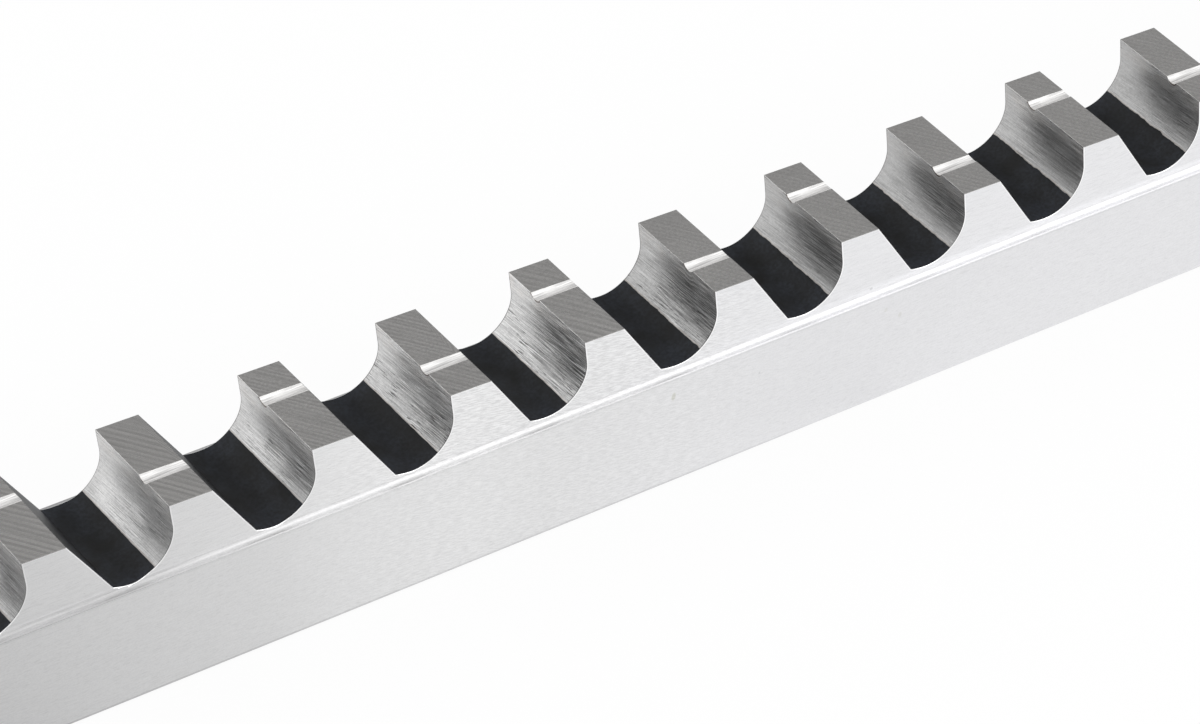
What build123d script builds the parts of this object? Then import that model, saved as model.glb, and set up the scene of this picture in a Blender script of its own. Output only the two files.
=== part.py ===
from build123d import *

import os
from math import cos, radians, tan

# Push-type keyway broach for an 8 mm keyway: one bar of tool steel, ground to shape.
# A rib of cutting teeth stands on a slightly wider body that slides in a guide bushing.
# X runs along the bar, from the pilot that enters the bore first (-X) to the end that the
# press pushes on (+X). The teeth point up, +Z, and their cutting edges run across, along Y.
# The origin is at the middle of the flat bottom.

# Rib and body
rib_width = 8.0               # width of the keyway that it cuts
ledge_width = 0.5             # the body stands out this far on each side of the rib
step_height = 8.75            # bottom to the ledges
ledge_break = 0.06            # fine bevel along the outer edge of each ledge
bottom_break = 0.2            # bevel along the two bottom edges

# Teeth
tooth_count = 24
finishing_teeth = 3           # last teeth, level with each other and without chip breakers
pitch = 10.0                  # cutting edge to cutting edge
first_tooth_height = 13.35    # bottom to the first cutting edge
rise_per_tooth = 0.08         # depth of cut of each tooth
land_length = 3.0             # flat behind each cutting edge
relief_angle = 1.5            # degrees that the land falls away behind its edge

# Gullets, the chip spaces in front of the teeth
gullet_depth = 4.9            # cutting edge to the lowest line of its gullet
gullet_radius = 2.7           # from the lowest line up to the rake face
floor_radius = 4.4            # flatter, from the lowest line back to the tooth before
floor_angle = 17.0            # degrees of that flatter arc
hook_angle = 12.0             # degrees that the rake face leans back under its edge

# Chip breakers, shallow round grooves along the lands, to one side and the other in turn
breaker_width = 0.9
breaker_depth = 0.3
breaker_offset = 1.2          # middle of the rib to the middle of a groove

# Plain ends
pilot_length = 29.0           # end face to the first cutting edge
pilot_drop = 0.15             # top of the pilot below the first cutting edge
shank_length = 29.0           # rake face of the last gullet to the end face
shank_drop = 0.15             # top of the shank below the last cutting edge
end_bevel = 0.8               # bevel round both end faces

# Cutting shapes run this far past the metal that they cut
overrun = 1.0

# A hollow fillet fills the width of each ledge, up to its bevel
body_width = rib_width + 2 * ledge_width
step_radius = ledge_width - ledge_break

overall_length = pilot_length + tooth_count * pitch + shank_length
front_x = -overall_length / 2
rear_x = overall_length / 2
first_edge_x = front_x + pilot_length
land_fall = land_length * tan(radians(relief_angle))

# From a cutting edge to the middle of its gullet's arc, which runs smoothly into the rake face.
# The flatter arc of the floor has its middle straight above or below that one.
hook = radians(hook_angle)
arc_drop = gullet_depth - gullet_radius
arc_back = gullet_radius / cos(hook) - arc_drop * tan(hook)
floor_drop = gullet_depth - floor_radius

# A groove this wide and deep is cut by a round wheel edge of this radius
breaker_radius = (breaker_width**2 / 4 + breaker_depth**2) / (2 * breaker_depth)


def tooth_height(index):
    """Height of a cutting edge above the bottom. Teeth are counted from 0, at the pilot."""
    return first_tooth_height + rise_per_tooth * min(index, tooth_count - finishing_teeth)


full_height = tooth_height(tooth_count - 1)
pilot_top = first_tooth_height - pilot_drop
shank_top = full_height - shank_drop

# The cutting edges, and the rear corner of each land, seen from the side
edges = [(first_edge_x + index * pitch, tooth_height(index)) for index in range(tooth_count)]
land_ends = [(x + land_length, z - land_fall) for x, z in edges]

# A gullet runs from the pilot or a land to the next cutting edge or the shank
pilot_end = (first_edge_x - pitch + land_length, pilot_top)
shank_start = (rear_x - shank_length, shank_top)
gullet_starts = [pilot_end] + land_ends
gullet_ends = edges + [shank_start]


def gullet_lines(start, end):
    """One gullet of the side outline: straight back slope, floor, round bottom and rake face."""
    middle_x = end[0] - arc_back
    floor = CenterArc(
        (middle_x, end[1] - floor_drop), floor_radius, -90 - floor_angle, floor_angle
    )
    hollow = CenterArc((middle_x, end[1] - arc_drop), gullet_radius, -90, 90 + hook_angle)
    Line(start, floor @ 0)
    Line(hollow @ 1, end)


with BuildPart() as broach:
    # Side outline: pilot, gullets and lands, shank, and the flat bottom
    with BuildSketch(Plane.XZ):
        with BuildLine():
            Polyline(
                pilot_end,
                (front_x + end_bevel, pilot_top),
                (front_x, pilot_top - end_bevel),
                (front_x, end_bevel),
                (front_x + end_bevel, 0),
                (rear_x - end_bevel, 0),
                (rear_x, end_bevel),
                (rear_x, shank_top - end_bevel),
                (rear_x - end_bevel, shank_top),
                shank_start,
            )
            for start, end in zip(gullet_starts, gullet_ends):
                gullet_lines(start, end)
            for edge, land_end in zip(edges, land_ends):
                Line(edge, land_end)
        make_face()
    extrude(amount=body_width / 2, both=True)

    # Cross-section: half of the body, its ledge and the rib, mirrored
    with BuildSketch(Plane.YZ):
        with BuildLine():
            Polyline(
                (0, full_height + overrun),
                (0, 0),
                (body_width / 2 - bottom_break, 0),
                (body_width / 2, bottom_break),
                (body_width / 2, step_height - ledge_break),
                (body_width / 2 - ledge_break, step_height),
            )
            hollow = CenterArc(
                (rib_width / 2 + step_radius, step_height + step_radius),
                step_radius,
                start_angle=-90,
                arc_size=-90,
            )
            Polyline(
                hollow @ 1,
                (rib_width / 2, full_height + overrun),
                (0, full_height + overrun),
            )
        make_face()
        mirror(about=Plane.YZ)
    extrude(amount=overall_length / 2, both=True, mode=Mode.INTERSECT)

    # Plan: the upright edges of both end faces are bevelled
    with BuildSketch():
        plan = Rectangle(overall_length, body_width)
        chamfer(plan.vertices(), end_bevel)
    extrude(amount=full_height + overrun, mode=Mode.INTERSECT)

    # Chip breakers on every tooth but the finishing ones
    for index, (edge_x, edge_z) in enumerate(edges[: tooth_count - finishing_teeth]):
        side = -1 if index % 2 == 0 else 1
        with BuildSketch(Plane.YZ.offset(edge_x - overrun)):
            with Locations((side * breaker_offset, edge_z - breaker_depth + breaker_radius)):
                Circle(breaker_radius)
        extrude(amount=land_length + 2 * overrun, mode=Mode.SUBTRACT)

broach.part.label = "broach"

os.makedirs("parts", exist_ok=True)
export_step(broach.part, "parts/broach.step")
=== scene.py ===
import bmesh
import bpy
import numpy as np
from mathutils import Matrix, Vector


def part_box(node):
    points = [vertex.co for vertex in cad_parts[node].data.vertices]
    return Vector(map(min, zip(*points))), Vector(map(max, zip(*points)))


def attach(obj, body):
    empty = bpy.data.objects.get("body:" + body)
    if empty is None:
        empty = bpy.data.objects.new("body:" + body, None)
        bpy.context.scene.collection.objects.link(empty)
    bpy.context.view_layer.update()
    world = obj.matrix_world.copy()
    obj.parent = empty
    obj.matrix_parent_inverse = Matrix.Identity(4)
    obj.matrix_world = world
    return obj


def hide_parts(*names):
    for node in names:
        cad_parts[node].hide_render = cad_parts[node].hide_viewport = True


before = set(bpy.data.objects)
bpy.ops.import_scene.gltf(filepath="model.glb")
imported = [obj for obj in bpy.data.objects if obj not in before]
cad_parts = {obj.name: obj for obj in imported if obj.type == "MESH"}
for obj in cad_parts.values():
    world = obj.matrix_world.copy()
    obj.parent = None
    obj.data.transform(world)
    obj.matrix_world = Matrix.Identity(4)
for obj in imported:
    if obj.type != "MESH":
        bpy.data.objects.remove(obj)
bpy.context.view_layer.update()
mm = 0.001

# The bar, in millimetres from the middle of its flat bottom, teeth up, pilot towards -X
broachForm = {
    "ribHalf": 4.0,          # half the width of the toothed rib
    "stepHeight": 8.75,      # bottom to the ledges
    "ledgeBreak": 0.06,
    "bottomBreak": 0.1,
    "toothCount": 24,
    "finishingTeeth": 3,     # level with each other, without grooves
    "pitch": 10.0,
    "rise": 0.08,            # each tooth stands this much above the one before
    "landLength": 3.0,
    "reliefAngle": 1.5,
    "gulletDepth": 4.9,
    "gulletRadius": 2.7,
    "floorRadius": 4.4,
    "floorAngle": 17.0,
    "hookAngle": 12.0,
    "edgeHone": 0.018,       # tiny flat that dulls each cutting edge
    "grooveWidth": 0.9,
    "grooveDepth": 0.3,
    "grooveOffset": 1.2,
    "plainLength": 29.0,     # pilot end to the first edge, and last gullet to the shank end
    "plainDrop": 0.15,
    "endBevel": 0.8,
    "edgeBreak": 0.022,      # stoned bevel along the rib's top outline
    "rimWidth": 0.07,        # narrow strip below that bevel, painted bright along the gullets as a highlight
    # where each gullet's black floor ends, from the cutting edge down the surface
    "blackFrom": {5: 4.56, 6: 4.80, 7: 4.28, 8: 4.54, 9: 4.91, 10: 4.63, 11: 4.30, 12: 4.45,
                  13: 4.17, 14: 4.27},
    "blackUsual": 4.5,
    # spacing of the grinding lines on each land
    "linePitch": {5: 0.45, 6: 0.46, 7: 0.34, 8: 0.35, 9: 0.53, 10: 0.40},
    "pitchUsual": 0.42,
}

# How finely each stretch of the outline and of the section is divided
broachSteps = {
    "slope": 6,
    "floor": 4,
    "hollow": 26,
    "rake": 8,
    "land": 8,
    "groove": 8,
    "fillet": 8,
    "plain": 10,
    "end": (0.0, 0.15, 0.3, 0.42, 0.55, 0.68),
    # the flanks' columns lean forward under each tooth, so that none leaves the metal
    "foot": 8.2,             # height where they stand upright again
    "rakeFoot": 1.6,         # how far behind its edge each stretch stands down there
    "edgeFoot": 2.0,
    "landFoot": 0.5,
    "plainShare": 4.5,       # length of each plain end that leans along with them
    "topRow": 1.4,           # the first row's height over the step, in fillet radii
    "slack": 1e-6,           # in telling which stations lie on the end bevel
    "weld": 0.0005,          # rows closer than this become one
    "sharpFrom": 28,         # degrees between faces that stay sharp
}
# Values that the mesh carries for its materials: what they read far from a gullet's rim and in a
# gullet without a groove, and the step from one gullet's own number to the next
broachFields = {"farFromRim": 1.0, "noMouth": 99.0, "numberStep": 0.618}

pilotZone, slopeZone, floorZone, hollowZone, rakeZone, landZone, shankZone = range(7)
flankSlot, landSlot, gulletSlot, grooveSlot = range(4)


def reliefFall(f):
    # how far a land falls from its edge to its rear corner
    return f["landLength"] * np.tan(np.radians(f["reliefAngle"]))


def arcPoints(middle, radius, first, last, steps):
    # points of an arc, its last one left out: middle plus radius times cosine and sine
    angles = np.radians(np.linspace(first, last, steps + 1)[:-1])
    return middle[0] + radius * np.cos(angles), middle[1] + radius * np.sin(angles)


def barOutline(f, n, low, high):
    # The top outline as one row of stations. Every gullet is the same drawing, set against the
    # cutting edge behind it: a straight back slope, two arcs that meet at the lowest line, a
    # straight rake face up to that edge, and then the land.
    count = f["toothCount"]
    hook = np.radians(f["hookAngle"])
    arcDrop = f["gulletDepth"] - f["gulletRadius"]
    arcBack = f["gulletRadius"] / np.cos(hook) - arcDrop * np.tan(hook)
    gullets = np.arange(count + 1)
    edgeX = low[0] + f["plainLength"] + gullets * f["pitch"]
    firstHeight = high[2] - f["rise"] * (count - f["finishingTeeth"])
    edgeZ = firstHeight + f["rise"] * np.minimum(gullets, count - f["finishingTeeth"])
    pilotTop = firstHeight - f["plainDrop"]
    shankTop = high[2] - f["plainDrop"]
    edgeZ[count] = shankTop
    startX = edgeX - f["pitch"] + f["landLength"]
    startZ = np.append(pilotTop, edgeZ[:count] - reliefFall(f))

    floorX, floorZ = arcPoints((-arcBack, f["floorRadius"] - f["gulletDepth"]), f["floorRadius"],
                               -90 - f["floorAngle"], -90, n["floor"])
    hollowX, hollowZ = arcPoints((-arcBack, -arcDrop), f["gulletRadius"],
                                 -90, f["hookAngle"], n["hollow"])
    rakeTopX = -arcBack + f["gulletRadius"] * np.cos(hook)
    rakeTopZ = -arcDrop + f["gulletRadius"] * np.sin(hook)
    rakeLength = np.hypot(rakeTopX, rakeTopZ)
    rakeShare = np.append(np.arange(n["rake"]) / n["rake"], 1 - f["edgeHone"] / rakeLength)
    landShare = np.arange(n["land"]) / n["land"]
    landShare[0] = f["edgeHone"] / f["landLength"]
    slopeShare = np.arange(n["slope"]) / n["slope"]

    fixedX = np.concatenate([floorX, hollowX, rakeTopX * (1 - rakeShare),
                             landShare * f["landLength"]])
    fixedZ = np.concatenate([floorZ, hollowZ, rakeTopZ * (1 - rakeShare),
                             -landShare * reliefFall(f)])
    cornerX, cornerZ = edgeX + floorX[0], edgeZ + floorZ[0]
    slopeX = startX[:, None] + (cornerX - startX)[:, None] * slopeShare
    slopeZ = startZ[:, None] + (cornerZ - startZ)[:, None] * slopeShare
    zones = np.repeat([slopeZone, floorZone, hollowZone, rakeZone, landZone],
                      [n["slope"], n["floor"], n["hollow"], n["rake"] + 1, n["land"]])
    shares = np.concatenate([slopeShare, np.zeros(n["floor"] + n["hollow"]), rakeShare, landShare])

    # plain ends, whose faces carry a bevel: close stations on it, then even ones
    bevel = np.array(n["end"])
    pilotX = np.concatenate([low[0] + bevel, np.linspace(low[0] + f["endBevel"], startX[0],
                                                          n["plain"] + 1)[:-1]])
    shankX = np.concatenate([np.linspace(edgeX[count] + f["edgeHone"], high[0] - f["endBevel"],
                                         n["plain"] + 1),
                             high[0] - bevel[::-1]])
    pilotZ = pilotTop - np.maximum(0, f["endBevel"] - (pilotX - low[0]))
    shankZ = shankTop - np.maximum(0, f["endBevel"] - (high[0] - shankX))

    def wholeBar(pilot, teeth, shank):
        # a value for every station; behind the last gullet there is no land
        return np.concatenate([np.broadcast_to(pilot, pilotX.shape), teeth.ravel()[:-n["land"]],
                               np.broadcast_to(shank, shankX.shape)])

    x = wholeBar(pilotX, np.hstack([slopeX, edgeX[:, None] + fixedX]), shankX)
    z = wholeBar(pilotZ, np.hstack([slopeZ, edgeZ[:, None] + fixedZ]), shankZ)
    zone = wholeBar(pilotZone, np.tile(zones, count + 1), shankZone)
    share = wholeBar(0.0, np.tile(shares, count + 1), 0.0)
    gullet = wholeBar(0, np.repeat(gullets, len(zones)), count)
    step = np.hypot(np.diff(x), np.diff(z))
    travel = np.append(0, np.cumsum(step))
    atEdge = travel[np.flatnonzero((zone[:-1] == rakeZone) & (zone[1:] != rakeZone)) + 1]
    slopeRun = (cornerX - startX) / (startZ - cornerZ)
    return {"x": x, "z": z, "zone": zone, "share": share, "gullet": gullet, "travel": travel,
            "step": step, "fromEdge": travel - atEdge[gullet], "edgeX": edgeX, "edgeZ": edgeZ,
            "slopeRun": slopeRun, "toEnd": np.minimum(x - low[0], high[0] - x)}


def inwardNormals(x, z):
    # the mean of both neighbouring segments' normals, lengthened so that an offset keeps its width
    dx, dz = np.diff(x), np.diff(z)
    length = np.hypot(dx, dz)
    nx, nz = dz / length, -dx / length
    beforeX, beforeZ = np.append(nx[0], nx), np.append(nz[0], nz)
    afterX, afterZ = np.append(nx, nx[-1]), np.append(nz, nz[-1])
    scale = 1 + beforeX * afterX + beforeZ * afterZ
    return (beforeX + afterX) / scale, (beforeZ + afterZ) / scale


def sharpOffset(line, distance):
    # An offset inwards of the outline with its cutting edges still sharp: both stations of the
    # tiny flat there come to lie in one point.
    zone = line["zone"]
    lastRake = np.flatnonzero((zone[:-1] == rakeZone) & (zone[1:] != rakeZone))
    kept = np.ones(len(zone), bool)
    kept[lastRake] = False
    x, z = line["x"].copy(), line["z"].copy()
    x[lastRake + 1], z[lastRake + 1] = line["edgeX"], line["edgeZ"]
    normalX, normalZ = inwardNormals(x[kept], z[kept])
    place = np.cumsum(kept) - kept
    return (x[kept] + distance * normalX)[place], (z[kept] + distance * normalZ)[place], lastRake


def halfWidth(f, z, bodyHalf):
    # half the bar's width at a height: bottom bevel, body, ledge bevel, hollow fillet, rib
    radius = bodyHalf - f["ribHalf"] - f["ledgeBreak"]
    reach = np.clip(f["stepHeight"] + radius - z, 0, radius)
    fillet = f["ribHalf"] + radius - np.sqrt(radius**2 - reach**2)
    body = np.minimum(bodyHalf, bodyHalf - f["ledgeBreak"] + f["stepHeight"] - z)
    body = np.minimum(body, bodyHalf - f["bottomBreak"] + z)
    return np.where(z >= f["stepHeight"], fillet, body)


def topSurface(f, n, line, width):
    # Rows across the top. Each row is straight along Y, but a groove is a round trough along X:
    # its level is a circle of Y, its ends slide down the rake face and the back slope, and the
    # columns beside it close in as the falling land makes the trough narrower.
    zone, share, gullet = (line[name][:, None] for name in ("zone", "share", "gullet"))
    onRake, onLand, onSlope = zone == rakeZone, zone == landZone, zone == slopeZone
    wheel = (f["grooveWidth"]**2 / 4 + f["grooveDepth"]**2) / (2 * f["grooveDepth"])
    relief, hook = np.tan(np.radians(f["reliefAngle"])), np.tan(np.radians(f["hookAngle"]))
    tau = np.linspace(-1, 1, n["groove"] + 1)
    owner = np.where(onSlope, gullet - 1, gullet)
    grooved = (owner >= 0) & (owner < f["toothCount"] - f["finishingTeeth"])
    grooved &= onRake | onLand | onSlope

    behind = np.select([onLand, onSlope], [share * f["landLength"], f["landLength"]], 0)
    left = f["grooveDepth"] - behind * relief
    half = np.sqrt(2 * wheel * left - left**2)
    fullHalf = f["grooveWidth"] / 2
    halfHere = np.where(onSlope, half + (fullHalf - half) * share, half)
    slopeRun = line["slopeRun"][np.minimum(owner + 1, f["toothCount"])]
    amount = np.select([onRake, onLand, onSlope], [share, 1.0, 1 - share], 0)

    columns, drops, slides = [], [], []
    for parity, side in ((0, -1), (1, 1)):
        cutHere = grooved & (owner % 2 == parity)
        reach = np.where(cutHere, halfHere, fullHalf) * tau
        atCut = np.where(cutHere, half, fullHalf) * tau
        level = -f["grooveDepth"] + wheel - np.sqrt(wheel**2 - atCut**2)
        level = np.minimum(level, -behind * relief)
        drop = level + behind * relief
        atFront, atRear = -level * hook, -drop * slopeRun
        slide = np.select([onRake, onLand, onSlope],
                          [atFront * share, atFront * (1 - share) + atRear * share,
                           atRear * (1 - share)], 0)
        columns.append(side * f["grooveOffset"] + reach)
        drops.append(np.where(cutHere, drop * amount, 0))
        slides.append(np.where(cutHere, slide, 0))

    outer = (width - f["edgeBreak"])[:, None]
    middle = f["grooveOffset"] + fullHalf + (outer - f["grooveOffset"] - fullHalf) / 2
    none = np.zeros_like(outer)
    y = np.hstack([-outer, -middle, columns[0], none, columns[1], middle, outer])
    x = line["x"][:, None] + np.hstack([none, none, slides[0], none, slides[1], none, none])
    z = line["z"][:, None] + np.hstack([none, none, drops[0], none, drops[1], none, none])
    wide = n["groove"] + 1
    column = np.concatenate([[-1, -1], np.full(wide, 0), [-1], np.full(wide, 1), [-1, -1]])
    column[[1 + wide, 2 + 2 * wide]] = -1  # a column's number belongs to the strip after it
    return x, y, z, onLand & grooved & (column == owner % 2)


def sideSurface(f, n, line, bodyHalf, low, high):
    # Columns down one side. Under the bevel each row keeps one height of the section, or the
    # outline's own height where a gullet cuts below it, and slides from the outline's X to an
    # even spacing along the bar as it comes down.
    normalX, normalZ = inwardNormals(line["x"], line["z"])
    rimX = line["x"] + f["edgeBreak"] * normalX
    rimZ = line["z"] + f["edgeBreak"] * normalZ
    topX, topZ, lastRake = sharpOffset(line, f["edgeBreak"] + f["rimWidth"])
    radius = bodyHalf - f["ribHalf"] - f["ledgeBreak"]
    turn = np.radians(np.linspace(0, 90, n["fillet"] + 1))
    foot = n["foot"]
    heights = np.concatenate([[f["stepHeight"] + radius * n["topRow"]],
                              f["stepHeight"] + radius * (1 - np.sin(turn)),
                              [f["stepHeight"] - f["ledgeBreak"], foot, f["bottomBreak"], 0]])
    zone, begins = line["zone"], np.append(True, np.diff(line["zone"]) != 0)
    plain = (zone == pilotZone) | (zone == shankZone)
    near = np.minimum(np.abs(line["x"] - line["x"][~plain][0]),
                      np.abs(line["x"] - line["x"][~plain][-1])) < n["plainShare"]
    ahead = np.select([zone == rakeZone, zone == landZone, zone == slopeZone, zone == shankZone],
                      [n["rakeFoot"] - line["x"] + line["edgeX"][line["gullet"]], n["edgeFoot"],
                       n["landFoot"], n["edgeFoot"]], 0)
    first = (zone == slopeZone) & (line["gullet"] == 0)
    knots = (begins & (zone != floorZone) & ~first) | (plain & ~near)
    ahead[plain & ~near] = 0
    evenX = np.interp(line["travel"], line["travel"][knots], (line["x"] + ahead)[knots])
    evenX[lastRake] = evenX[lastRake + 1]
    onEnd = line["toEnd"] <= f["endBevel"] + n["slack"]
    evenX = np.where(onEnd, line["x"], evenX)

    z = np.minimum(heights, topZ[:, None])
    down = np.clip((topZ[:, None] - z) / (topZ[:, None] - foot), 0, 1)
    x = topX[:, None] + (evenX - topX)[:, None] * down
    x[onEnd] = line["x"][onEnd, None]
    x = np.hstack([rimX[:, None], topX[:, None], x])
    z = np.hstack([rimZ[:, None], topZ[:, None], z])
    x[0], x[-1] = low[0], high[0]
    reach = np.minimum(x - low[0], high[0] - x)
    z = np.maximum(z, f["endBevel"] - reach)
    y = np.minimum(halfWidth(f, z, bodyHalf), bodyHalf - f["endBevel"] + reach)
    return x, y, z


def closeEnd(faces, ring, middle):
    # a fan of triangles from the middle of an end face to its ring
    following = np.roll(ring, -1)
    faces.extend(zip(ring.tolist(), following.tolist(), [middle] * len(ring)))


def cellCorners(grid):
    # the four values around each cell: here, the next station, and the next column of both
    after = np.roll(grid, -1, axis=1)
    return np.stack([grid[:-1], grid[1:], after[1:], after[:-1]], -1)


def broachMesh(f, n):
    # One profile carried along the tooth outline: the top surface, then down one side, across
    # the flat bottom and up the other side, closed by a fan at each end.
    low, high = [np.array(corner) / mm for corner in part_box("broach")]
    bodyHalf = (high[1] - low[1]) / 2
    line = barOutline(f, n, low, high)
    width = np.minimum(halfWidth(f, line["z"], bodyHalf),
                       bodyHalf - f["endBevel"] + line["toEnd"])
    topX, topY, topZ, inGroove = topSurface(f, n, line, width)
    sideX, sideY, sideZ = sideSurface(f, n, line, bodyHalf, low, high)

    x = np.hstack([topX, sideX, sideX[:, ::-1]])
    y = np.hstack([topY, sideY, -sideY[:, ::-1]])
    z = np.hstack([topZ, sideZ, sideZ[:, ::-1]])
    stations, around = x.shape
    tops = topX.shape[1]
    points = np.stack([x, y, z], -1).reshape(-1, 3)
    frontMiddle = [low[0], 0, sideZ[0].mean()]
    rearMiddle = [high[0], 0, sideZ[-1].mean()]
    points = np.vstack([points, frontMiddle, rearMiddle])

    index = np.arange(stations * around).reshape(stations, around)
    faces = cellCorners(index).reshape(-1, 4).tolist()
    closeEnd(faces, index[0], stations * around)
    closeEnd(faces, index[-1][::-1], stations * around + 1)

    # the finish of each strip: ground flanks, lands, gullets with their rake faces, grooves
    onLand = line["zone"] == landZone
    inGullet = ~np.isin(line["zone"], [landZone, pilotZone, shankZone])
    column = np.arange(around)
    onTop = column < tops - 1
    onBevel = (column == tops - 1) | (column == around - 1)
    slot = np.full((stations - 1, around), flankSlot)
    slot[(onTop | onBevel) & onLand[:-1, None]] = landSlot
    slot[onTop & inGullet[:-1, None]] = gulletSlot
    slot[:, :tops][inGroove[:-1]] = grooveSlot
    slots = np.concatenate([slot.ravel(), np.full(2 * around, flankSlot)])

    # the map in millimetres: distance from the cutting edge, behind it or down its gullet, and Y
    start = np.repeat(line["fromEdge"][:-1, None], around, 1)
    end = start + line["step"][:, None]
    u = np.stack([start, end, end, start], -1)
    ends = np.zeros(2 * around * 3)
    uv = np.stack([np.append(u, ends), np.append(cellCorners(y), ends)], -1)

    # how far each point lies inside the outline of a gullet, up to a plain large value
    fromRim = np.full((stations, around), broachFields["farFromRim"])
    for row, distance in enumerate((0, f["edgeBreak"], f["edgeBreak"] + f["rimWidth"])):
        fromRim[inGullet, tops - 1 + row] = distance
        fromRim[inGullet, -row] = distance
    # each gullet's and tooth's own values: where the black floor ends, the spacing of the land's
    # lines, the place of the groove's mouth, and a number between 0 and 1
    tooth = np.arange(f["toothCount"] + 1)
    mouth = np.where(tooth % 2 == 0, -f["grooveOffset"], f["grooveOffset"])
    own = {"blackFrom": np.array([f["blackFrom"].get(k, f["blackUsual"]) for k in tooth]),
           "linePitch": np.array([f["linePitch"].get(k, f["pitchUsual"]) for k in tooth]),
           "mouthAt": np.where(tooth < f["toothCount"] - f["finishingTeeth"], mouth,
                               broachFields["noMouth"]),
           "ownNumber": tooth * broachFields["numberStep"] % 1.0}
    fields = {name: np.repeat(each[line["gullet"], None], around, 1) for name, each in own.items()}
    fields["fromRim"] = fromRim
    endMiddles = [broachFields["farFromRim"]] * 2
    fields = {name: np.append(values.ravel(), endMiddles) for name, values in fields.items()}
    return points * mm, faces, slots, uv, fields


def makeBroach(materials):
    # the mesh with its finishes, its map, and the values that it carries at its points
    points, faces, slots, uv, fields = broachMesh(broachForm, broachSteps)
    mesh = bpy.data.meshes.new("groundBar")
    mesh.from_pydata(points.tolist(), [], faces)
    for material in materials:
        mesh.materials.append(material)
    mesh.polygons.foreach_set("material_index", slots)
    layer = mesh.uv_layers.new(name="alongBar")
    layer.uv.foreach_set("vector", uv.astype(np.float32).ravel())
    for name, values in fields.items():
        field = mesh.attributes.new(name, "FLOAT", "POINT")
        field.data.foreach_set("value", values.astype(np.float32))

    # where a gullet cuts below the step, rows share one place: they become one
    work = bmesh.new()
    work.from_mesh(mesh)
    bmesh.ops.remove_doubles(work, verts=work.verts, dist=broachSteps["weld"] * mm)
    bmesh.ops.dissolve_degenerate(work, edges=work.edges, dist=broachSteps["weld"] * mm)
    work.to_mesh(mesh)
    work.free()
    mesh.polygons.foreach_set("use_smooth", np.ones(len(mesh.polygons), bool))
    mesh.set_sharp_from_angle(angle=np.radians(broachSteps["sharpFrom"]))
    mesh.update()
    piece = bpy.data.objects.new("ground_bar", mesh)
    bpy.context.collection.objects.link(piece)
    return piece


class Nodes:
    # a node tree being built, with short ways to add to it
    grid = {"perRow": 6, "apart": 220, "rowApart": 260}

    def __init__(self, tree):
        self.tree = tree
        self.count = 0

    def add(self, kind, inputs=None, **settings):
        # a node with its own settings, then its sockets by name or number
        node = self.tree.nodes.new(kind)
        row, place = divmod(self.count, self.grid["perRow"])
        node.location = place * self.grid["apart"], -row * self.grid["rowApart"]
        self.count += 1
        for name, value in settings.items():
            setattr(node, name, value)
        for name, value in (inputs or {}).items():
            self.feed(node.inputs[name], value)
        return node

    def feed(self, socket, value):
        # a socket takes either a value or another node's output
        if isinstance(value, bpy.types.NodeSocket):
            self.tree.links.new(value, socket)
        else:
            socket.default_value = value

    def math(self, kind, first, second=0.0, clamp=False):
        return self.add("ShaderNodeMath", {0: first, 1: second}, operation=kind,
                        use_clamp=clamp).outputs[0]

    def times(self, product, *values):
        for value in values:
            product = self.math("MULTIPLY", product, value)
        return product

    def plus(self, first, second, clamp=False):
        return self.math("ADD", first, second, clamp)

    def minus(self, first, second, clamp=False):
        return self.math("SUBTRACT", first, second, clamp)

    def blend(self, mask, first, second):
        # the first value where the mask is zero, the second where it is one
        return self.add("ShaderNodeMix", {0: mask, 2: first, 3: second},
                        data_type="FLOAT").outputs[0]

    def blendColor(self, mask, first, second):
        return self.add("ShaderNodeMix", {0: mask, 6: first, 7: second},
                        data_type="RGBA").outputs[2]

    def stretch(self, value, low, high, toLow=0.0, toHigh=1.0):
        # a smooth ramp from one range to another
        return self.add("ShaderNodeMapRange", {"Value": value, "From Min": low, "From Max": high,
                                               "To Min": toLow, "To Max": toHigh},
                        interpolation_type="SMOOTHSTEP").outputs[0]

    def split(self, vector):
        return [*self.add("ShaderNodeSeparateXYZ", {0: vector}).outputs]

    def whole(self, x, y, z=0.0):
        return self.add("ShaderNodeCombineXYZ", {0: x, 1: y, 2: z}).outputs[0]

    def scaled(self, vector, amount):
        return self.add("ShaderNodeVectorMath", {0: vector, "Scale": amount},
                        operation="SCALE").outputs[0]

    def noise(self, place, scale, detail, roughness=0.5):
        return self.add("ShaderNodeTexNoise", {"Vector": place, "Scale": scale, "Detail": detail,
                                               "Roughness": roughness}).outputs["Fac"]

    def shownRays(self, rays):
        # one for the camera, and for what metal and glass show of the surroundings
        shown = self.math("MAXIMUM", rays["Is Camera Ray"], rays["Is Glossy Ray"])
        return self.math("MAXIMUM", shown, rays["Is Transmission Ray"])


class Effect(Nodes):
    # a node group with named inputs, of which those given as None are vectors, and one output
    def __init__(self, name, result, inputs):
        super().__init__(bpy.data.node_groups.new(name, "ShaderNodeTree"))
        for socketName, value in inputs.items():
            kind = "NodeSocketVector" if value is None else "NodeSocketFloat"
            socket = self.tree.interface.new_socket(socketName, in_out="INPUT", socket_type=kind)
            if value is not None:
                socket.default_value = value
        self.tree.interface.new_socket(result, in_out="OUTPUT", socket_type="NodeSocketFloat")
        self.given = self.add("NodeGroupInput").outputs

    def close(self, value):
        self.add("NodeGroupOutput", {0: value})
        return self.tree


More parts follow.
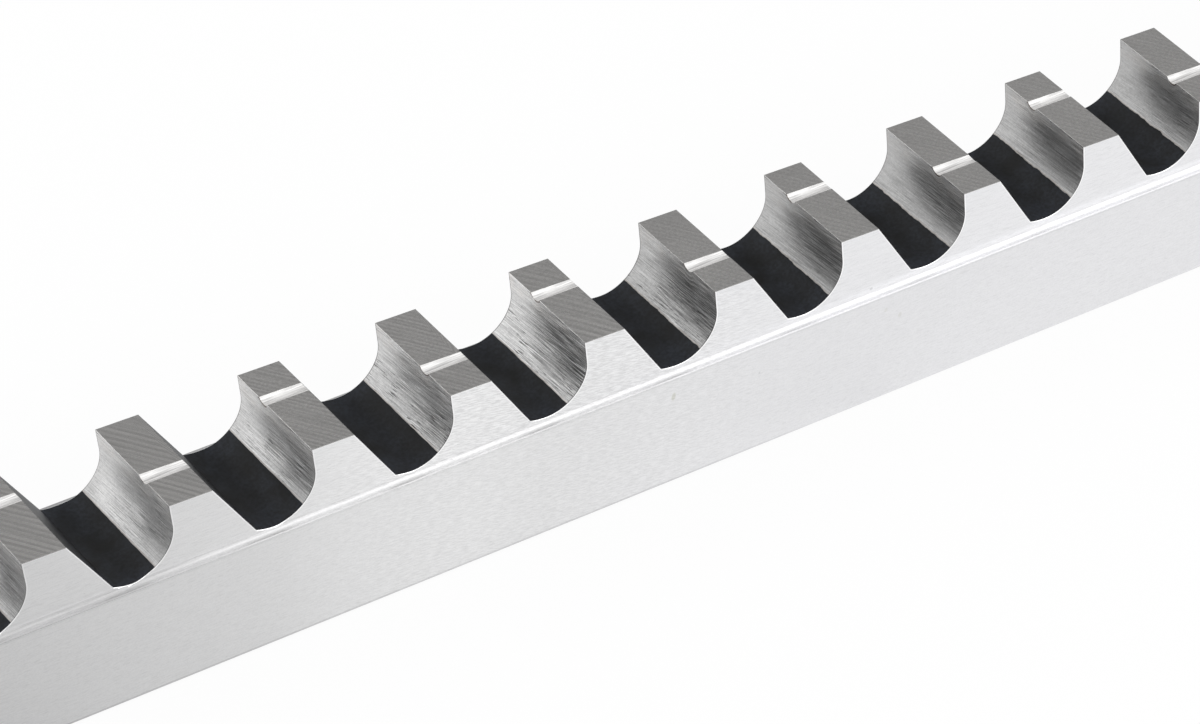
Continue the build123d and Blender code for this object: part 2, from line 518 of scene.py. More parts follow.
def makeStreaks():
    # Fine broken lines: noise drawn out along one axis. Place is in millimetres.
    made = Effect("fineStreaks", "Height", {"Place": None, "Spacing": 0.1, "Length": 3.0,
                                            "Detail": 3.0})
    spacing = made.given["Spacing"]
    along, across, deep = made.split(made.given["Place"])
    drawn = made.whole(made.math("DIVIDE", along, made.given["Length"]),
                       made.math("DIVIDE", across, spacing), made.math("DIVIDE", deep, spacing))
    return made.close(made.noise(drawn, 1.0, made.given["Detail"], 0.6))


def makeSpecks():
    # Small scattered spots: the core of each cell of a cell pattern, kept in a few cells only
    made = Effect("fineSpecks", "Mask", {"Place": None, "Apart": 1.0, "Size": 0.12, "Share": 0.3})
    cells = made.add("ShaderNodeTexVoronoi", {
        "Vector": made.given["Place"], "Scale": made.math("DIVIDE", 1.0, made.given["Apart"]),
        "Randomness": 1.0}).outputs
    core = made.stretch(cells["Distance"], 0.0, made.given["Size"], 1.0, 0.0)
    drawn = made.add("ShaderNodeSeparateColor", {0: cells["Color"]}).outputs[0]
    return made.close(made.times(core, made.math("LESS_THAN", drawn, made.given["Share"])))


def makePatches():
    # Soft broad patches between 0 and 1: noise with more or less contrast around its middle
    made = Effect("softPatches", "Mask", {"Place": None, "Size": 8.0, "Contrast": 1.0})
    scale = made.math("DIVIDE", 1.0, made.given["Size"])
    centred = made.minus(made.noise(made.given["Place"], scale, 3.0), 0.5)
    return made.close(made.plus(made.times(centred, made.given["Contrast"]), 0.5, True))


def makeBand():
    # A soft band: 1 where a value lies between two limits, with soft sides
    made = Effect("softBand", "Mask", {"Value": 0.0, "From": 0.0, "To": 1.0, "Soft": 0.02})
    first, last = (made.math("DIVIDE", made.minus(made.given["Value"], made.given[limit]),
                             made.given["Soft"]) for limit in ("From", "To"))
    return made.close(made.times(made.stretch(first, -1, 1), made.stretch(last, -1, 1, 1.0, 0.0)))


# Ranges that every look may name: a mask's own, and three between which noise shows its pattern
anyLook = {"full": (0.0, 1.0), "falling": (1.0, 0.0), "swing": (-1.0, 1.0),
           "wide": (0.3, 0.7), "usual": (0.35, 0.65), "narrow": (0.36, 0.64)}


class Finish(Nodes):
    # a material being built from one look, whose values are given by their names
    def __init__(self, name, look):
        self.material = bpy.data.materials.new(name)
        self.material.use_nodes = True
        super().__init__(self.material.node_tree)
        self.shader = self.tree.nodes["Principled BSDF"]
        self.look = anyLook | look

    def give(self, name, value):
        self.feed(self.shader.inputs[name], value)

    def group(self, tree, **inputs):
        return self.add("ShaderNodeGroup", inputs, node_tree=tree).outputs[0]

    def ramp(self, value, limits, values="full", base=0.0):
        # a smooth ramp between two limits, counted from a base, from one value to another
        low, high = self.look[limits]
        return self.stretch(value, base + low, base + high, *self.look[values])

    def band(self, value, run, base=0.0):
        # one on a run counted from a base, with soft ends
        low, high, soft = self.look[run]
        return self.group(softBand, Value=value, From=base + low, To=base + high, Soft=soft)

    def fade(self, tone, mask, share):
        # a tone that changes to a share of itself, a number or a name, where the mask is one
        return self.times(tone, self.stretch(mask, 0, 1, 1.0, self.look.get(share, share)))

    def amount(self, mask, name):
        # a mask times a named value
        return self.times(mask, self.look[name])

    def streaks(self, place, name):
        spacing, length, detail = self.look[name]
        return self.group(fineStreaks, Place=place, Spacing=spacing, Length=length, Detail=detail)

    def patches(self, place, name):
        size, contrast = self.look[name]
        return self.group(softPatches, Place=place, Size=size, Contrast=contrast)

    def mottle(self, place, name):
        return self.noise(place, *self.look[name])

    def field(self, name):
        # a value that the mesh carries at its points
        return self.add("ShaderNodeAttribute", attribute_name=name).outputs["Fac"]

    def objectPlace(self):
        # object coordinates in millimetres
        return self.scaled(self.add("ShaderNodeTexCoord").outputs["Object"], 1 / mm)

    def mapPlace(self):
        # the bar's own map in millimetres
        return self.add("ShaderNodeUVMap", uv_map="alongBar").outputs[0]

    def turned(self, place, *angles):
        return self.add("ShaderNodeMapping", {
            "Vector": place, "Rotation": [np.radians(angle) for angle in angles]}).outputs[0]

    def tinted(self, tone):
        # the look's own grey times a tone
        return self.scaled(grey(self.look["tone"], self.look["warmth"])[:3], tone)

    def coat(self, color, metallic, roughness, height):
        # the metal's surface, with a relief as high as the look says
        relief = self.add("ShaderNodeBump", {"Height": height, "Strength": 1.0,
                                             "Distance": self.look["bump"] * mm})
        values = {"Base Color": color, "Metallic": metallic, "Roughness": roughness,
                  "Normal": relief.outputs[0]}
        for name, value in values.items():
            self.give(name, value)
        return self.material


def grey(level, warm=0.0):
    # a linear grey, a little warmer or cooler
    return level * (1 + warm), level, level * (1 - warm), 1.0


# Finishes. A tone is the metal's own colour as a linear grey, or a share of it, and a length is
# in mm. Streaks are given by spacing, length and detail, patches by size and contrast, mottling
# by scale and detail. Runs go along the bar, strips up from the step, and other ranges where
# their names say; a third number is their softness. Limits are the values of a noise at which
# its pattern begins and is full. What has two tones goes from the first to the second.
flankLook = {
    "tone": (0.84, 0.88), "blue": (1.004, 1.018), "farRun": (-45.0, 0.0), "bump": 0.0008,
    "roughness": (0.30, 0.36), "lines": (0.09, 1.6, 4.0), "lineTone": (0.95, 1.0),
    "grain": (9.0, 2.0), "grainTone": (0.96, 1.0), "cloud": (9.0, 1.6), "cloudTone": (0.985, 1.0),
    "dashes": (0.06, 0.7, 1.0), "dashLimits": (0.56, 0.66), "dashTone": (1.0, 0.93),
    "specks": {"Apart": 0.9, "Size": 0.10, "Share": 0.16}, "speckTone": 0.90,
    # coarser short marks on one stretch of the bar, stronger on the rib
    "marks": (0.085, 0.7, 2.0), "markTurn": -12.0, "markRun": (-47.0, -17.0, 9.0),
    "markHeight": (8.7, 9.3), "markTone": (0.055, 0.11),
    # painted shade on the ledge, broken by scuff streaks, less of it towards the shank
    "ledgeStrip": (-0.08, 0.0, 0.015), "ledgeShadeTone": (0.26, 0.14), "scuffs": (0.5, 5.0, 3.0),
    "scuffLimits": (0.4, 0.6), "scuffTone": (1.0, 1.12), "dullStrip": (-0.10, 0.25, 0.08),
    "dullRough": 0.20,
    # the hollow fillet, toned down as painted shade towards the pilot and brighter as a painted
    # highlight towards the shank, with a crown of fine threads
    "hollowStrip": (0.0, 0.25, 0.12), "hollowRun": (-52.0, -5.0), "hollowPaintedTone": (0.79, 0.95),
    "crownStrip": (0.12, 0.30, 0.04), "crownRun": (-52.0, -30.0), "crownTone": (0.84, 0.90),
    "threads": (0.045, 3.0, 2.0), "threadTone": (0.93, 1.07),
    # a painted highlight on the rib above it; painted shade on the step towards the pilot, on the
    # bottom bevel and in a thin line under the ledge; and one brighter stretch
    "glowRise": (-0.02, 0.2), "glowFall": (0.9, 0.35), "glowRun": (-30.0, 2.0), "glowTone": 1.10,
    "pilotRun": (-50.0, -66.0), "pilotTone": 0.72, "bottomHeight": (0.30, 0.18),
    "bottomTone": 0.83, "underStrip": (-0.22, -0.08, 0.04), "underTone": 0.93,
    "liftRun": (-50.0, -35.0, 6.0), "liftTone": 1.06,
    "paintedRimTone": 1.0, "rimSolid": 0.7,       # share of the painted rim highlight's width before it fades
    "stepEnd": 148.7, "pastEnd": 20.0,     # the end faces lie past this and count as higher
    "stainDepth": 2.0,                     # across the bar, so that only the near flank is stained
    "stainCore": 0.4,                      # share of a stain's half size within which it is full
}

# Small stains on the near flank: middle along the bar and in height, half width and half
# height, and how much they darken and yellow the metal
flankStains = {
    "oil": {"x": -22.7, "z": 7.25, "halfX": 0.24, "halfZ": 0.46, "dark": 0.17, "yellow": 0.07},
    "dot": {"x": -15.8, "z": 6.4, "halfX": 0.12, "halfZ": 0.12, "dark": 0.14, "yellow": 0.0},
    "low": {"x": -4.4, "z": 6.6, "halfX": 0.22, "halfZ": 0.30, "dark": 0.09, "yellow": 0.03},
    "high": {"x": -5.7, "z": 7.5, "halfX": 0.20, "halfZ": 0.26, "dark": 0.07, "yellow": 0.03},
    "scuff": {"x": 0.7, "z": 8.1, "halfX": 0.60, "halfZ": 0.16, "dark": 0.05, "yellow": 0.0},
    "rib": {"x": -6.8, "z": 9.3, "halfX": 0.18, "halfZ": 0.14, "dark": 0.20, "yellow": 0.0},
}


def stainMask(steel, stain):
    # one inside an oval patch of the near flank, fading to nothing at its border
    middle = (stain["x"], -broachForm["ribHalf"], stain["z"])
    half = (stain["halfX"], steel.look["stainDepth"], stain["halfZ"])
    away = steel.add("ShaderNodeVectorMath", {0: steel.place, 1: middle}, operation="SUBTRACT")
    away = steel.add("ShaderNodeVectorMath", {0: away.outputs[0], 1: half}, operation="DIVIDE")
    far = steel.add("ShaderNodeVectorMath", {0: away.outputs[0]}, operation="LENGTH")
    return steel.stretch(far.outputs["Value"], 1.0, steel.look["stainCore"])


def flankGrain(steel):
    # fine lines, grain, soft patches, dashes, short marks and specks as one tone
    place = steel.place
    marks = steel.streaks(steel.turned(place, 0, steel.look["markTurn"], 0), "marks")
    marks = steel.times(steel.band(steel.along, "markRun"),
                        steel.ramp(steel.up, "markHeight", "markTone"),
                        steel.ramp(marks, "usual", "swing"))
    tone = steel.times(steel.ramp(steel.lines, "wide", "lineTone"),
                       steel.ramp(steel.mottle(place, "grain"), "usual", "grainTone"),
                       steel.ramp(steel.patches(place, "cloud"), "full", "cloudTone"),
                       steel.ramp(steel.streaks(place, "dashes"), "dashLimits", "dashTone"),
                       steel.plus(marks, 1.0))
    specks = steel.group(fineSpecks, Place=place, **steel.look["specks"])
    return steel.fade(tone, specks, "speckTone")


def stepTone(steel):
    # body and rib, and the strips about the step that differ from them, mostly painted highlight
    # and painted shade
    along, height, step = steel.along, steel.height, broachForm["stepHeight"]
    # the hollow fillet's own tone is painted shade and highlight, set to how its highlight runs
    # along the bar
    tone = steel.blend(steel.hollow, steel.ramp(height, "full", "tone", step),
                       steel.ramp(along, "hollowRun", "hollowPaintedTone"))
    crown = steel.times(steel.ramp(along, "crownRun", "crownTone"),
                        steel.ramp(steel.streaks(steel.place, "threads"), "narrow", "threadTone"))
    tone = steel.times(tone, steel.blend(steel.band(height, "crownStrip", step), 1.0, crown))
    # masks of painted light: a highlight on the rib above the step, shade on the step towards the
    # pilot, on the bottom bevel and under the ledge; lift is one brighter stretch
    masks = {
        "glow": steel.times(steel.ramp(height, "glowFall", base=step),
                            steel.ramp(height, "glowRise", base=step),
                            steel.ramp(along, "glowRun")),
        "pilot": steel.times(steel.math("MAXIMUM", steel.hollow, steel.ledge),
                             steel.ramp(along, "pilotRun")),
        "bottom": steel.times(steel.ramp(height, "bottomHeight"),
                              steel.ramp(along, "glowRun", "falling")),
        "under": steel.band(height, "underStrip", step),
        "lift": steel.band(along, "liftRun"),
    }
    for name, mask in masks.items():
        tone = steel.fade(tone, mask, name + "Tone")
    # painted shade on the ledge, broken by scuff streaks
    scuffs = steel.ramp(steel.streaks(steel.place, "scuffs"), "scuffLimits", "scuffTone")
    darker = steel.times(steel.ledge, scuffs, steel.ramp(steel.farther, "full", "ledgeShadeTone"))
    return steel.times(tone, steel.minus(1.0, darker))


def flankSteel():
    # Ground flanks: very fine lines along the bar, specks and stains, painted shade and highlights
    # about the step, painted highlights along the gullets' rims
    steel = Finish("ground_flanks", flankLook)
    look, step = steel.look, broachForm["stepHeight"]
    steel.place = steel.objectPlace()
    steel.along, across, steel.up = steel.split(steel.place)
    # the end faces have no step: there every height counts as far above it
    past = steel.math("GREATER_THAN", steel.math("ABSOLUTE", steel.along), look["stepEnd"])
    steel.height = steel.plus(steel.up, steel.amount(past, "pastEnd"))
    steel.lines = steel.streaks(steel.place, "lines")
    steel.farther = steel.ramp(steel.along, "farRun")
    steel.ledge = steel.band(steel.height, "ledgeStrip", step)
    steel.hollow = steel.band(steel.height, "hollowStrip", step)
    tone = steel.times(flankGrain(steel), stepTone(steel))
    # a painted highlight along the gullets' rims, as bright as the metal's full tone
    rimEnd = broachForm["edgeBreak"] + broachForm["rimWidth"]
    rim = steel.stretch(steel.field("fromRim"), rimEnd * look["rimSolid"], rimEnd, 1.0, 0.0)
    tone = steel.blend(rim, tone, look["paintedRimTone"])
    blue = steel.ramp(steel.farther, "full", "blue")
    for stain in flankStains.values():
        mask = stainMask(steel, stain)
        tone = steel.fade(tone, mask, 1 - stain["dark"])
        if stain["yellow"]:
            blue = steel.fade(blue, mask, 1 - stain["yellow"])
    color = steel.add("ShaderNodeCombineColor", {0: tone, 1: tone, 2: steel.times(tone, blue)})
    dull = steel.amount(steel.band(steel.height, "dullStrip", step), "dullRough")
    rough = steel.plus(steel.ramp(steel.lines, "wide", "roughness"), dull)
    return steel.coat(color.outputs[0], 1.0, rough, steel.lines)


landLook = {
    # the tone is darker than the flanks: partly the ground finish, partly painted shade for the
    # dim studio side that the lands mirror
    "tone": 0.68, "warmth": 0.018, "roughness": (0.24, 0.30), "bump": 0.0018,
    "turn": 50.5,            # degrees between the wheel's lines and the bar
    "bends": (0.35, 1.0), "bend": 0.12, "fine": (0.19, 5.0, 2.0), "fineShare": 0.35,
    "broad": (0.76, 12.0, 1.0), "broadShare": 0.2, "waving": (2.5, 3.0),
    "waveShare": (0.03, 0.09), "farRun": (-33.0, -18.0), "lineTone": (0.12, 0.045),
    "cloud": (6.0, 1.5), "cloudTone": (0.95, 1.04), "grain": (0.16, 2.0),
    "grainRun": (-56.0, -50.0), "grainTone": (0.05, 0.10),
    "paintedRimTone": 0.2, "rimReach": (-0.01, 0.005),   # a painted dark rim of shade, counted from the land's own edge
}


def landLines(steel, flat):
    # the wheel's even lines, bent a little, with finer and broader broken ones
    look = steel.look
    place = steel.turned(flat, 0, 0, look["turn"])
    along, across, deep = steel.split(place)
    bent = steel.plus(across, steel.amount(steel.mottle(place, "bends"), "bend"))
    drawn = steel.whole(along, bent)
    lines = steel.plus(steel.amount(steel.streaks(drawn, "fine"), "fineShare"),
                       steel.amount(steel.streaks(drawn, "broad"), "broadShare"))
    lines = steel.plus(lines, 0.5 * (1 - look["fineShare"] - look["broadShare"]))
    cycles = steel.math("DIVIDE", bent, steel.field("linePitch"))
    wave = steel.math("SINE", steel.times(cycles, 2 * np.pi))
    share = steel.ramp(steel.patches(drawn, "waving"), "full", "waveShare")
    return steel.plus(lines, steel.times(wave, share))


def landSteel():
    # Lands: lines askew to the cutting edge, a dark rim of painted shade, and grain, fainter near
    # the pilot
    steel = Finish("ground_lands", landLook)
    flat, solid = steel.mapPlace(), steel.objectPlace()
    lines = landLines(steel, flat)
    alongBar = steel.split(solid)[0]
    farther = steel.ramp(alongBar, "farRun")
    lineTone = steel.times(steel.ramp(farther, "full", "lineTone"),
                           steel.ramp(lines, "usual", "swing"))
    grain = steel.times(steel.ramp(steel.patches(solid, "grain"), "full", "swing"),
                        steel.ramp(alongBar, "grainRun", "grainTone"))
    tone = steel.times(steel.plus(1.0, lineTone), steel.plus(grain, 1.0),
                       steel.ramp(steel.patches(solid, "cloud"), "full", "cloudTone"))
    # painted shade along the land's edge, so that its bevel does not shine
    edge = broachForm["ribHalf"] - broachForm["edgeBreak"]
    rim = steel.ramp(steel.math("ABSOLUTE", steel.split(flat)[1]), "rimReach", base=edge)
    color = steel.tinted(steel.blend(rim, tone, steel.look["paintedRimTone"]))
    return steel.coat(color, 1.0, steel.ramp(lines, "usual", "roughness"), lines)


# The rake faces. "Down" ranges are distances down the gullet from the cutting edge, negative,
# and "across" ranges go from the near side of the bar to the far side.
rakeLook = {
    "tone": (0.76, 0.58), "metal": (0.70, 0.85), "farRun": (-45.0, -8.0), "bump": 0.005,
    "roughLimits": (0.25, 0.75), "roughness": (0.54, 0.38),
    "warmth": (0.004, 0.02), "warmDown": (-2.2, -0.6),
    # streaks lean, each gullet's by its own amount, and less lower down; each gullet has its
    # own layer of the noise, so much apart from the next
    "tilt": -0.08, "tiltSpread": -0.08, "tiltDown": (-4.8, 0.0), "tiltShare": (0.3, 1.0),
    "ownStep": 9.0,
    "fine": (0.036, 1.8, 1.5), "fineSwing": (-1.0, 0.8), "fineTone": (0.22, 0.44),
    "fading": (1.6, 3.0), "fadingLimits": (0.1, 0.6), "fadingShare": (0.5, 1.0),
    "sharpRun": (-50.0, -14.0, 7.0), "calmAcross": (0.5, 3.0), "calmShare": (1.0, 0.5),
    # thin streaks, which stand out most where the face mirrors the dark gullet
    "thin": (0.0576, 2.16, 1.0), "thinLimits": (0.41, 0.57), "thinTone": 0.11,
    "deepAcross": (1.6, -0.4), "deepDown": (-3.3, -0.5, 0.5), "deepRun": (-38.0, 8.0, 6.0),
    # lowDown and its tone: darker low in the gullet, a painted shade
    "deepTone": 0.36, "lowDown": (-4.6, -3.5), "lowShadeTone": (0.94, 1.0),
    "middle": (0.0864, 3.6, 2.0), "middleTone": (0.90, 1.05),
    "broad": (0.504, 3.6, 3.0), "broadTone": (0.93, 1.04),
    "grain": (0.14, 2.0), "grainTone": (0.91, 1.09),
    # dark scratches, and shorter ones low on the face
    "scratches": (0.0468, 1.8, 1.0), "scratchLimits": (0.60, 0.68), "scratchTone": 0.5,
    "smudges": (0.07, 1.0, 1.0), "smudging": (0.9, 4.0), "smudgeDown": (-5.0, -2.6, 0.5),
    "smudgeShare": (0.35, 1.0), "smudgeTone": 0.12,
    # the honed edge, a broken dark line under it, and darker sides
    "dashes": (0.9, 3.0), "gapDown": (-0.15, -0.06, 0.02), "gapLimits": (0.50, 0.58),
    "gapTone": 0.55, "honeDown": (-0.045, -0.030), "honeLimits": (0.40, 0.58),
    "honeTone": (0.875, 1.25), "sideReach": (-0.10, -0.06), "sideTone": (0.40, 0.62),
    # paler low in the gullets nearest the pilot, and one gullet brighter on its far half
    "paleDown": (-4.6, -2.9, 0.5), "paleAcross": (-1.4, 3.0, 1.0), "paleRun": (-46.0, -52.0),
    "paleTone": 1.26, "brightRun": (-35.8, -29.4, 0.8), "brightAcross": (-1.5, 1.8),
    "brightTone": 1.22,
    # a broken brown burr under the groove's mouth
    "mouthHalf": (0.56, 0.46), "mouthDown": (-0.20, -0.10), "mouthLimits": (0.42, 0.52),
    "mouthShare": 0.8, "mouthTone": (0.10, 0.066, 0.045, 1.0),
    # less metallic in the fine lines, at the edge, and across the gullets nearest the pilot
    "lineMetal": 0.32, "edgeDown": (-1.3, -0.3), "edgeMetal": (0.0, 0.16),
    "dullDown": (-3.9, -1.9, 0.6), "dullAcross": (-1.0, 2.4, 1.2), "dullRun": (-26.0, -34.0),
    "dullMetal": 0.36,
}
blackLook = {
    "black": (0.0030, 0.0032, 0.0036, 1.0), "blueBlack": (0.0125, 0.0150, 0.0205, 1.0),
    "blackRough": 0.5, "blackShine": 0.3, "blackPatches": (1.8, 2.6), "blackBump": 0.3,
    # lighter, bluer black towards both sides of the bar: a painted sheen
    "sheenReach": (1.6, 3.8), "sheenShare": (-0.15, 0.35),
    "blackGrain": (0.22, 2.2), "blackGrainTone": (0.55, 1.45),
    # the floor's border waves slowly and is jagged, more so towards the shank, with a brown
    # hairline above it
    "border": (-0.03, 0.03), "waves": (0.3, 2.0), "waveHeight": 0.12, "jags": (1.6, 2.0),
    "jagHeight": 0.10, "waveRun": (-36.0, -16.0), "waveShare": (0.5, 2.0),
    "hair": (0.02, 0.07, 0.02), "hairShare": 0.5, "hairTone": (0.50, 0.42, 0.36, 1.0),
}


def gulletPlaces(steel):
    # places on the rake face, and the masks that more than one of its effects use
    steel.solid = steel.objectPlace()
    steel.along = steel.split(steel.solid)[0]
    steel.down, steel.across, flat = steel.split(steel.mapPlace())
    own = steel.field("ownNumber")
    tilt = steel.times(steel.plus(steel.look["tilt"], steel.amount(own, "tiltSpread")),
                       steel.ramp(steel.down, "tiltDown", "tiltShare"))
    leaning = steel.minus(steel.down, steel.times(steel.across, tilt))
    steel.drawn = steel.whole(steel.across, leaning, steel.amount(own, "ownStep"))
    steel.spot = steel.whole(steel.across, steel.along)
    steel.fromMiddle = steel.math("ABSOLUTE", steel.across)
    steel.fine = steel.streaks(steel.drawn, "fine")
    steel.fading = steel.patches(steel.drawn, "fading")
    steel.lines = steel.times(steel.ramp(steel.fine, "narrow", "fineSwing"),
                              steel.ramp(steel.fading, "fadingLimits", "fadingShare"))
    steel.smudging = steel.patches(steel.drawn, "smudging")
    steel.dashes = steel.mottle(steel.spot, "dashes")
    steel.hone = steel.ramp(steel.down, "honeDown")
    steel.sharp = steel.band(steel.along, "sharpRun")
    steel.farther = steel.ramp(steel.along, "farRun")


def rakeStreaks(steel):
    # all streaks and scratches of the rake face as one tone, with painted shade low in the gullet
    down, across, drawn, sharp = steel.down, steel.across, steel.drawn, steel.sharp
    calm = steel.ramp(across, "calmAcross", "calmShare")
    fine = steel.times(steel.lines, steel.ramp(sharp, "full", "fineTone"), calm)
    deep = steel.times(steel.ramp(across, "deepAcross"), steel.band(down, "deepDown"),
                       steel.band(steel.along, "deepRun"))
    amount = steel.plus(steel.amount(deep, "deepTone"), steel.amount(sharp, "thinTone"))
    thin = steel.times(steel.ramp(steel.streaks(drawn, "thin"), "thinLimits", "fineSwing"),
                       amount, calm)
    tone = steel.times(steel.plus(fine, 1.0), steel.plus(thin, 1.0),
                       steel.ramp(down, "lowDown", "lowShadeTone"),
                       steel.ramp(steel.streaks(drawn, "middle"), "wide", "middleTone"),
                       steel.ramp(steel.streaks(drawn, "broad"), "wide", "broadTone"),
                       steel.ramp(steel.patches(steel.solid, "grain"), "full", "grainTone"))
    scratch = steel.times(steel.ramp(steel.streaks(drawn, "scratches"), "scratchLimits"),
                          steel.fading)
    smudge = steel.times(steel.ramp(steel.streaks(drawn, "smudges"), "scratchLimits"),
                         steel.smudging, steel.band(down, "smudgeDown"),
                         steel.ramp(sharp, "full", "smudgeShare"))
    return steel.fade(steel.fade(tone, scratch, "scratchTone"), smudge, "smudgeTone")


def rakeTone(steel):
    # the streaks, then the broken line, the honed edge, the sides and the gullets that differ
    down, across, along = steel.down, steel.across, steel.along
    gap = steel.times(steel.band(down, "gapDown"), steel.ramp(steel.dashes, "gapLimits"))
    tone = steel.fade(rakeStreaks(steel), gap, "gapTone")
    tone = steel.blend(steel.hone, tone, steel.ramp(steel.dashes, "honeLimits", "honeTone"))
    beside = steel.times(steel.ramp(steel.fromMiddle, "sideReach", base=broachForm["ribHalf"]),
                         steel.ramp(steel.sharp, "full", "sideTone"))
    tone = steel.times(tone, steel.minus(1.0, beside), steel.ramp(steel.farther, "full", "tone"))
    pale = steel.times(steel.band(down, "paleDown"), steel.band(across, "paleAcross"),
                       steel.ramp(along, "paleRun"))
    bright = steel.times(steel.band(along, "brightRun"), steel.ramp(across, "brightAcross"))
    return steel.fade(steel.fade(tone, pale, "paleTone"), bright, "brightTone")


def rakeColor(steel):
    # a warmer tint in patches near the edge, and the burr under the groove's mouth
    warmer = steel.times(steel.ramp(steel.down, "warmDown"), steel.smudging)
    color = steel.blendColor(warmer, *(grey(1.0, warm) for warm in steel.look["warmth"]))
    away = steel.math("ABSOLUTE", steel.minus(steel.across, steel.field("mouthAt")))
    mouth = steel.times(steel.ramp(away, "mouthHalf"), steel.ramp(steel.down, "mouthDown"),
                        steel.ramp(steel.dashes, "mouthLimits"), steel.look["mouthShare"])
    return steel.blendColor(mouth, steel.scaled(color, rakeTone(steel)), steel.look["mouthTone"])


def rakeMetal(steel):
    metal = steel.ramp(steel.farther, "full", "metal")
    metal = steel.minus(metal, steel.amount(steel.lines, "lineMetal"), True)
    metal = steel.minus(metal, steel.ramp(steel.down, "edgeDown", "edgeMetal"), True)
    dull = steel.times(steel.band(steel.down, "dullDown"), steel.band(steel.across, "dullAcross"),
                       steel.ramp(steel.along, "dullRun"), steel.look["dullMetal"])
    return steel.blend(steel.hone, steel.minus(metal, dull, True), 1.0)


def blackBorder(steel):
    # how far a point lies from the black floor towards the edge, with waves and jags added
    border = steel.plus(steel.down, steel.field("blackFrom"))
    share = steel.ramp(steel.along, "waveRun", "waveShare")
    for pattern, height in (("waves", "waveHeight"), ("jags", "jagHeight")):
        shift = steel.minus(steel.mottle(steel.spot, pattern), 0.5)
        border = steel.plus(border, steel.times(shift, share, steel.look[height]))
    return border


def gulletSteel():
    # Gullets: rough ground rake face with streaks across the bar, black unground floor below it
    steel = Finish("gullets", rakeLook | blackLook)
    gulletPlaces(steel)
    look, border = steel.look, blackBorder(steel)
    ground = steel.ramp(border, "border")
    # random patches in the black, and a painted sheen that lightens and blues it towards both
    # sides of the bar
    patches = steel.plus(steel.patches(steel.solid, "blackPatches"),
                         steel.ramp(steel.fromMiddle, "sheenReach", "sheenShare"), True)
    grain = steel.ramp(steel.patches(steel.solid, "blackGrain"), "full", "blackGrainTone")
    black = steel.scaled(steel.blendColor(patches, look["black"], look["blueBlack"]), grain)
    hair = steel.amount(steel.band(border, "hair"), "hairShare")
    color = steel.blendColor(hair, rakeColor(steel), look["hairTone"])
    rough = steel.ramp(steel.fine, "roughLimits", "roughness")
    steel.give("Specular IOR Level", look["blackShine"])
    return steel.coat(steel.blendColor(ground, black, color),
                      steel.times(ground, rakeMetal(steel)),
                      steel.blend(ground, look["blackRough"], rough),
                      steel.blend(ground, steel.amount(patches, "blackBump"), steel.fine))


grooveLook = {"tone": 0.90, "warmth": 0.01, "metal": 0.5, "roughness": (0.45, 0.55),
              "lines": (0.09, 2.5, 3.0), "lineTone": (0.64, 1.04), "bump": 0.002}


def grooveSteel():
    # Grooves: bright, with fine lines along them
    steel = Finish("grooves", grooveLook)
    lines = steel.streaks(steel.mapPlace(), "lines")
    return steel.coat(steel.tinted(steel.ramp(lines, "usual", "lineTone")), steel.look["metal"],
                      steel.ramp(lines, "wide", "roughness"), lines)


# Floor, lamps, surroundings, in metres and at a plain level
studio = {
    "floorSize": 14.0,
    "floorTone": 0.95,
    "floorRoughness": 0.9,
    "floorGlow": 0.88,       # share of the floor's look that is plain white to the camera
    "fallRun": (-125.0, -10.0),         # mm along the bar
    "fallAcross": (-5.0, 0.0),          # mm, so that only the floor on the near side falls off
    "fallTone": (0.28, 1.0),
    "worldSoft": 0.95,       # strength of the surroundings on matt surfaces
    "worldShown": 1.0,
    "darkToward": (0.60, 0.62, 0.50),   # the dark side of the studio, behind the bar to the right
    "darkReach": (0.60, 0.93),          # cosine of the angle to it, where it begins and is full
    "darkTone": (1.0, 0.33),
}
softboxes = {
    "front": {"toward": (0.50, -0.64, 0.58), "distance": 1.1, "size": (0.75, 0.5), "power": 2.2},
}


def makeFloor():
    half = studio["floorSize"] / 2
    corners = [(-half, -half, 0), (half, -half, 0), (half, half, 0), (-half, half, 0)]
    mesh = bpy.data.meshes.new("floor")
    mesh.from_pydata(corners, [], [(0, 1, 2, 3)])
    pale = Finish("pale_floor", studio)
    pale.give("Base Color", grey(studio["floorTone"]))
    pale.give("Roughness", studio["floorRoughness"])
    pale.give("Specular IOR Level", 0.0)
    # polished faces see the floor fall off towards the pilot, the camera doesn't
    rays = pale.add("ShaderNodeLightPath").outputs
    along, across, up = pale.split(pale.objectPlace())
    fall = pale.ramp(along, "fallRun", "fallTone")
    fall = pale.blend(pale.ramp(across, "fallAcross"), fall, 1.0)
    glow = pale.add("ShaderNodeEmission", {
        "Color": grey(1.0), "Strength": pale.blend(rays["Is Glossy Ray"], 1.0, fall)})
    both = pale.add("ShaderNodeMixShader", {
        0: pale.amount(pale.shownRays(rays), "floorGlow"), 1: pale.shader.outputs[0],
        2: glow.outputs[0]})
    pale.feed(pale.tree.nodes["Material Output"].inputs["Surface"], both.outputs[0])
    mesh.materials.append(pale.material)
    floor = bpy.data.objects.new("floor", mesh)
    bpy.context.collection.objects.link(floor)


def makeWorld():
    # White to the camera. Polished metal sees a white room with one dim side.
    world = bpy.data.worlds.new("studio")
    bpy.context.scene.world = world
    world.use_nodes = True
    world.node_tree.nodes.clear()
    sky = Nodes(world.node_tree)
    rays = sky.add("ShaderNodeLightPath").outputs
    cosine = sky.add("ShaderNodeVectorMath", {
        0: sky.add("ShaderNodeTexCoord").outputs["Generated"],
        1: Vector(studio["darkToward"]).normalized()}, operation="DOT_PRODUCT").outputs["Value"]
    dim = sky.stretch(cosine, *studio["darkReach"], *studio["darkTone"])
    level = sky.times(sky.blend(sky.shownRays(rays), studio["worldSoft"], studio["worldShown"]),
                      sky.blend(rays["Is Glossy Ray"], 1.0, dim))
    back = sky.add("ShaderNodeBackground", {"Color": grey(1.0), "Strength": level})
    sky.add("ShaderNodeOutputWorld", {"Surface": back.outputs[0]})


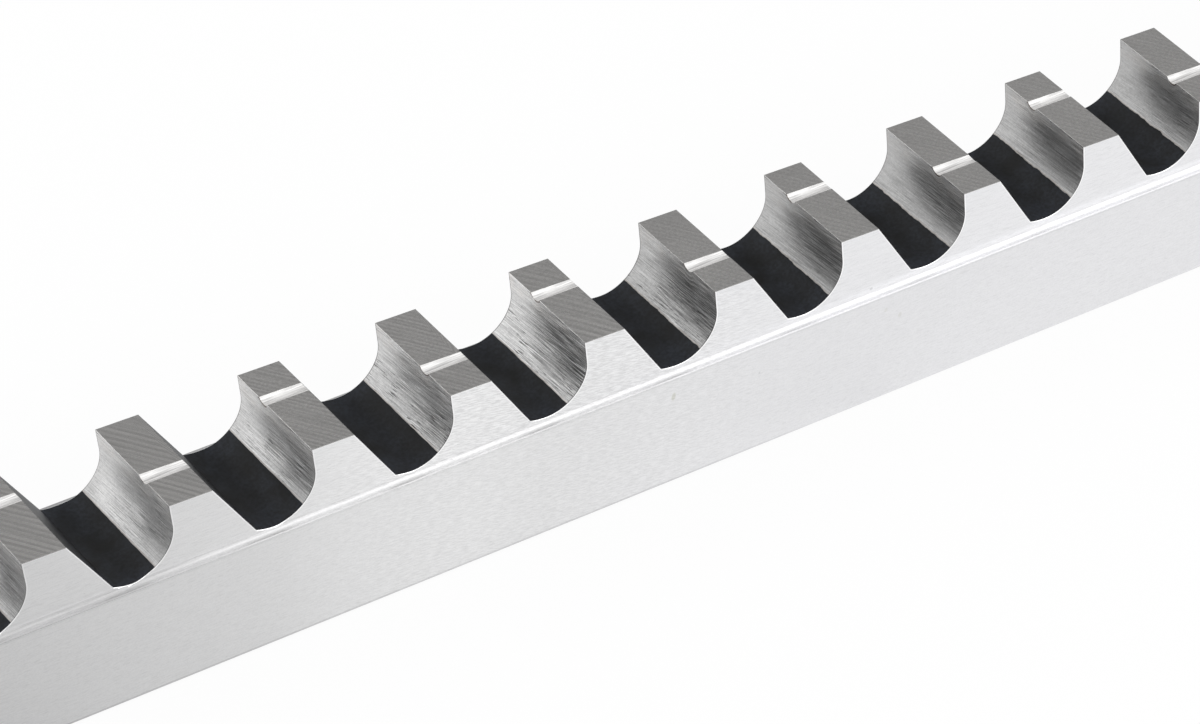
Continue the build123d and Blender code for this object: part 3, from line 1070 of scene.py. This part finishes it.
def makeLamps():
    for name, box in softboxes.items():
        lamp = bpy.data.lights.new(name, "AREA")
        lamp.shape = "RECTANGLE"
        lamp.size, lamp.size_y = box["size"]
        lamp.energy = box["power"]
        holder = bpy.data.objects.new(name, lamp)
        toward = Vector(box["toward"]).normalized()
        holder.location = toward * box["distance"]
        holder.rotation_euler = toward.to_track_quat("Z", "Y").to_euler()
        bpy.context.collection.objects.link(holder)


# The photograph's view: a long lens close to the bar, looking down on it from the left
viewpoint = {
    "lookAt": (-25.153, 0.0, 7.828),   # mm
    "distance": 340.29,                # mm
    "turn": 40.94,                     # degrees from +Y towards +X
    "drop": 38.44,                     # degrees below level
    "roll": 7.14,
    "lens": 163.99,
    "sensor": 36.0,
    "clip": (0.01, 50.0),              # metres
}


def makeCamera(view):
    turn, drop, roll = (np.radians(view[name]) for name in ("turn", "drop", "roll"))
    ahead = Vector((np.sin(turn) * np.cos(drop), np.cos(turn) * np.cos(drop), -np.sin(drop)))
    level = ahead.cross(Vector((0, 0, 1))).normalized()
    upright = level.cross(ahead)
    right = level * np.cos(roll) + upright * np.sin(roll)
    up = upright * np.cos(roll) - level * np.sin(roll)
    lens = bpy.data.cameras.new("camera")
    lens.lens = view["lens"]
    lens.sensor_width = view["sensor"]
    lens.clip_start, lens.clip_end = view["clip"]
    camera = bpy.data.objects.new("camera", lens)
    place = (Vector(view["lookAt"]) - ahead * view["distance"]) * mm
    camera.matrix_world = Matrix.Translation(place) @ \
        Matrix((right, up, -ahead)).transposed().to_4x4()
    bpy.context.collection.objects.link(camera)
    bpy.context.scene.camera = camera


bpy.context.scene.view_settings.view_transform = "Standard"
makeCamera(viewpoint)
makeFloor()
makeWorld()
makeLamps()
print("studio ready")

fineStreaks, fineSpecks = makeStreaks(), makeSpecks()
softPatches, softBand = makePatches(), makeBand()
finishes = [flankSteel(), landSteel(), gulletSteel(), grooveSteel()]
print("finishes ready:", ", ".join(finish.name for finish in finishes))

bar = makeBroach(finishes)
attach(bar, "root")
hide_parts("broach")
print("bar ready:", len(bar.data.polygons), "faces")
